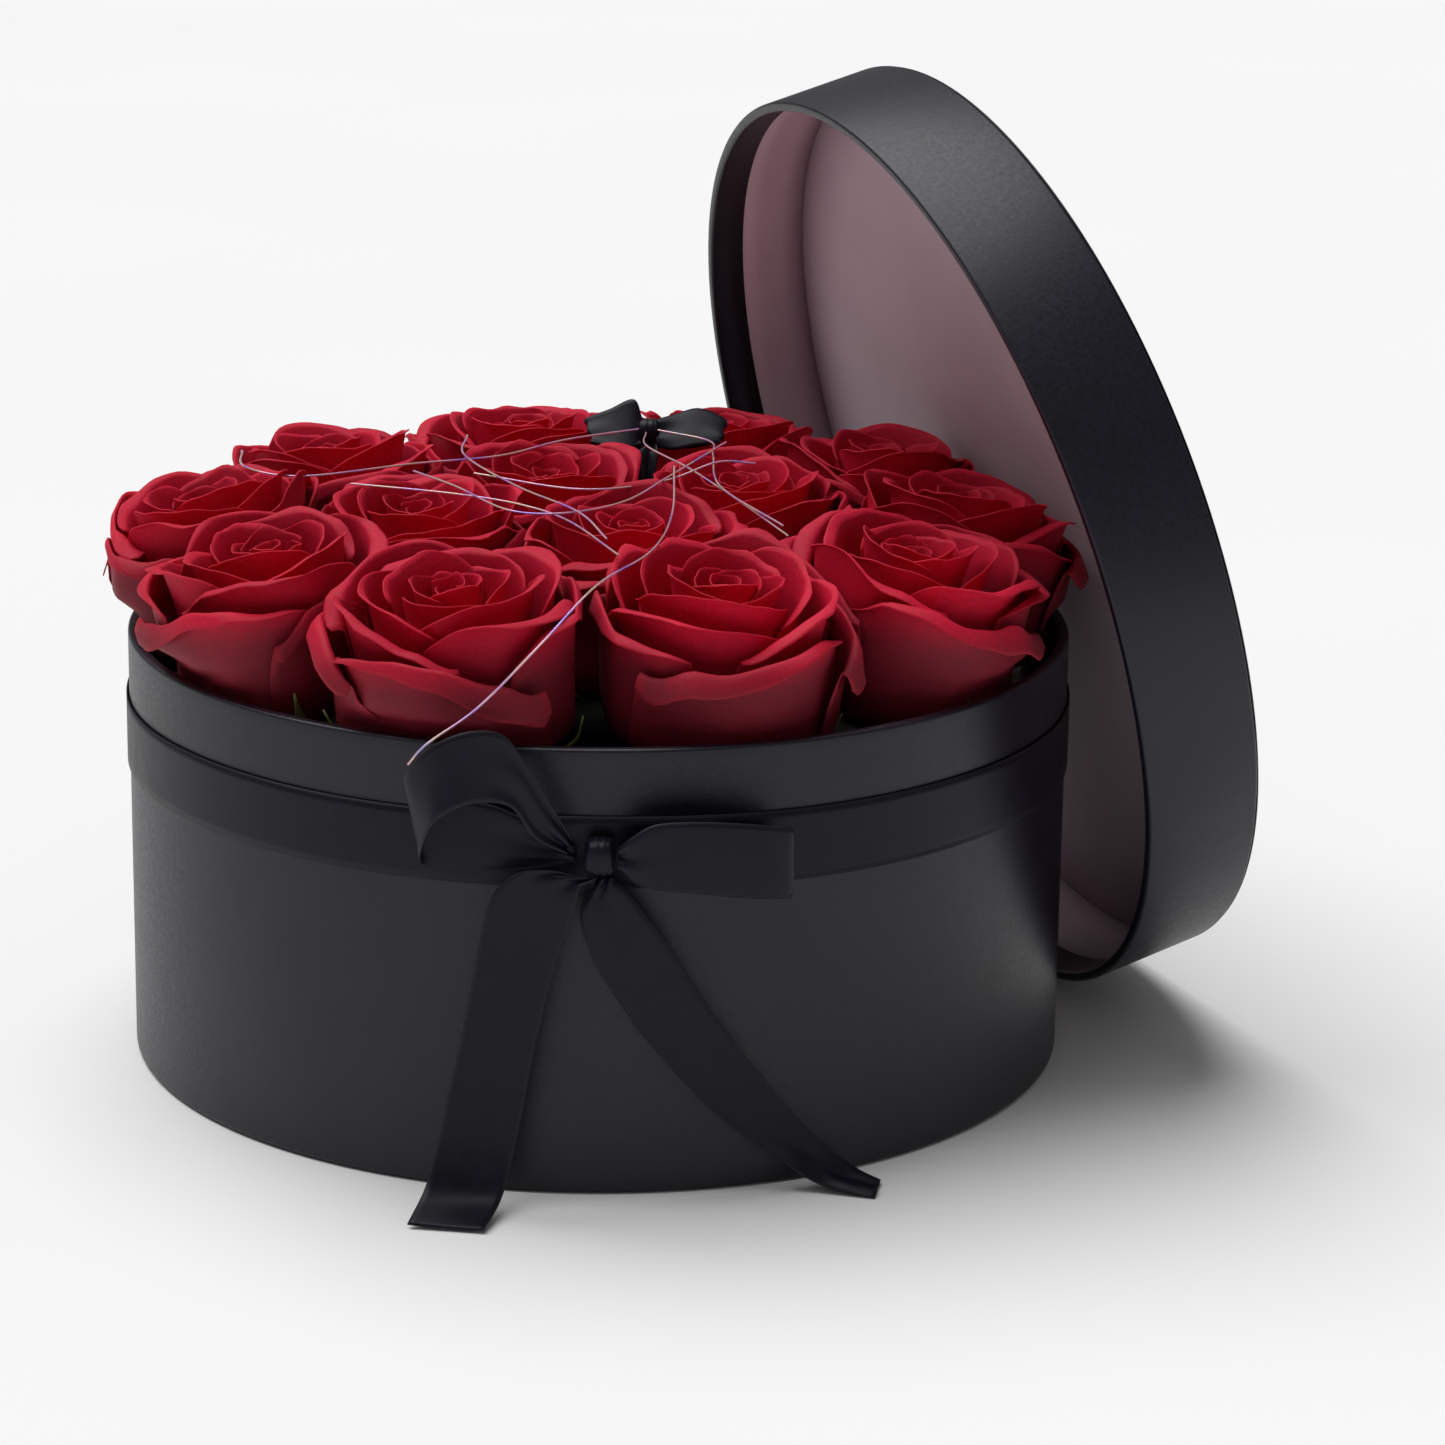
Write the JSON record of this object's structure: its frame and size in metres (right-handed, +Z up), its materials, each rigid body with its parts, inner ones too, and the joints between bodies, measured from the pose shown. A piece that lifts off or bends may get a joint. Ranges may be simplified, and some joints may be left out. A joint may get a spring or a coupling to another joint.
{
  "type": "flower box",
  "caption": "Round wrapped hat box of roses on foam, with a ribbon bow and a loose lid leaning on its rim.",
  "frame": {"origin": "centre of the box's underside, on the surface that it stands on", "axes": "+Z up along the box's axis, -Y towards the front where the bow is, +X to the right"},
  "size_m": [0.2675, 0.29, 0.2255],
  "materials": {
    "black_paper": "matte",
    "white_lining": "matte",
    "grey_board": "matte",
    "floral_foam": "matte",
    "rose_petals": "matte",
    "calyx_green": "satin",
    "black_satin": "satin",
    "tinsel_film": "gloss",
    "stem_wire": "satin"
  },
  "bodies": {
    "box": {"box_wall_board": "grey_board", "box_base_board": "grey_board", "box_wrap_paper": "black_paper", "box_base_paper": "black_paper", "box_wall_lining": "white_lining", "box_base_lining": "white_lining", "foam_block": "floral_foam", "ribbon_band": "black_satin", "bow_knot": "black_satin", "bow_loop_left": "black_satin", "bow_loop_right": "black_satin", "bow_tail_left": "black_satin", "bow_tail_right": "black_satin", "top_bow_knot": "black_satin", "top_bow_loop_left": "black_satin", "top_bow_loop_right": "black_satin", "top_bow_tail": "black_satin", "top_bow_stem": "stem_wire", "rose_01_head": "rose_petals", "rose_02_head": "rose_petals", "rose_03_head": "rose_petals", "rose_04_head": "rose_petals", "rose_05_head": "rose_petals", "rose_06_head": "rose_petals", "rose_07_head": "rose_petals", "rose_08_head": "rose_petals", "rose_09_head": "rose_petals", "rose_10_head": "rose_petals", "rose_11_head": "rose_petals", "rose_12_head": "rose_petals", "rose_13_head": "rose_petals", "rose_14_head": "rose_petals", "rose_01_calyx": "calyx_green", "rose_02_calyx": "calyx_green", "rose_03_calyx": "calyx_green", "rose_04_calyx": "calyx_green", "rose_05_calyx": "calyx_green", "rose_06_calyx": "calyx_green", "rose_07_calyx": "calyx_green", "rose_08_calyx": "calyx_green", "rose_09_calyx": "calyx_green", "rose_10_calyx": "calyx_green", "rose_11_calyx": "calyx_green", "rose_12_calyx": "calyx_green", "rose_13_calyx": "calyx_green", "rose_14_calyx": "calyx_green", "tinsel_1": "tinsel_film", "tinsel_2": "tinsel_film", "tinsel_3": "tinsel_film", "tinsel_4": "tinsel_film", "tinsel_5": "tinsel_film", "tinsel_6": "tinsel_film", "tinsel_7": "tinsel_film", "tinsel_8": "tinsel_film"},
    "lid": {"lid_wall_board": "grey_board", "lid_panel_board": "grey_board", "lid_wrap_paper": "black_paper", "lid_top_paper": "black_paper", "lid_wall_lining": "white_lining", "lid_panel_lining": "white_lining"}
  },
  "joints": [
    {"name": "lid_lift_off", "type": "slide", "parent": "box", "child": "lid", "axis": [0.889, 0.3682, 0.2723], "range_m": [0, 0.15]}
  ]
}
